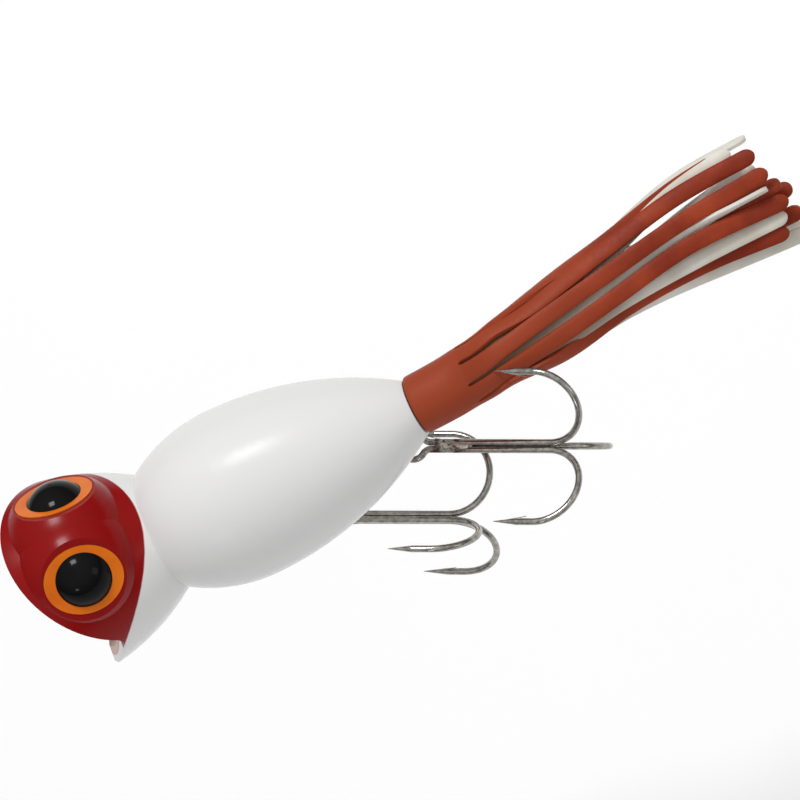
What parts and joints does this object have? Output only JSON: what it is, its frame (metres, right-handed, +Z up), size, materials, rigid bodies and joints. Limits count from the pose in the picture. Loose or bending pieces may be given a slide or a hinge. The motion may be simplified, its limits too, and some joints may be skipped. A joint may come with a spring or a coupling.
{
  "type": "topwater popper",
  "caption": "Floating fishing lure with a hollow egg-shaped body, a cupped popping mouth, raised round eyes, hanging treble hooks and a rubber strand skirt.",
  "frame": {"origin": "centre of the line tie's eye, on the body's axis in the mouth", "axes": "+X along the body's axis to the nose, +Y to the lure's left, +Z up through the eyes' side"},
  "size_m": [0.1194, 0.0402, 0.0453],
  "materials": {
    "body_paint": "gloss white lacquer, deep red over the top of the head",
    "rim_paint": "gloss orange",
    "pupil_gloss": "high gloss black dome",
    "screw_eye_wire": "bright nickel",
    "ballast_metal": "dull cast metal",
    "hook_wire": "bright nickel, brownish at the brazed joint",
    "skirt_rubber": "satin orange-red living rubber",
    "skirt_inner_rubber": "satin off-white living rubber"
  },
  "bodies": {
    "lure": {"body_shell_left": "body_paint", "body_shell_right": "body_paint", "left_eye_rim": "rim_paint", "left_pupil": "pupil_gloss", "right_eye_rim": "rim_paint", "right_pupil": "pupil_gloss", "line_tie": "screw_eye_wire", "belly_hanger": "screw_eye_wire", "tail_hanger": "screw_eye_wire", "tail_ballast": "ballast_metal", "outer_skirt_collar": "skirt_rubber", "inner_skirt_collar": "skirt_inner_rubber"},
    "belly_treble": {"belly_double_hook": "hook_wire", "belly_single_hook": "hook_wire"},
    "tail_treble": {"tail_double_hook": "hook_wire", "tail_single_hook": "hook_wire"},
    "skirt_strands": {"outer_skirt_strands": "skirt_rubber", "inner_skirt_strands": "skirt_inner_rubber"}
  },
  "joints": [
    {"name": "belly_swing", "type": "hinge", "parent": "lure", "child": "belly_treble", "pos_m": [-0.0251, 0, -0.01606], "axis": [-0.4226, -0.9063, 0], "range_deg": [-10, 150]},
    {"name": "tail_swing", "type": "hinge", "parent": "lure", "child": "tail_treble", "pos_m": [-0.0446, 0, -0.01009], "axis": [-0.4726, -0.8813, 0], "range_deg": [-10, 35]},
    {"name": "skirt_sway", "type": "hinge", "parent": "lure", "child": "skirt_strands", "pos_m": [-0.063, -0.0026, -0.003], "axis": [0, 0.3903, 0.9207], "range_deg": [-25, 30], "stiffness_Nm_per_rad": 0.003}
  ]
}
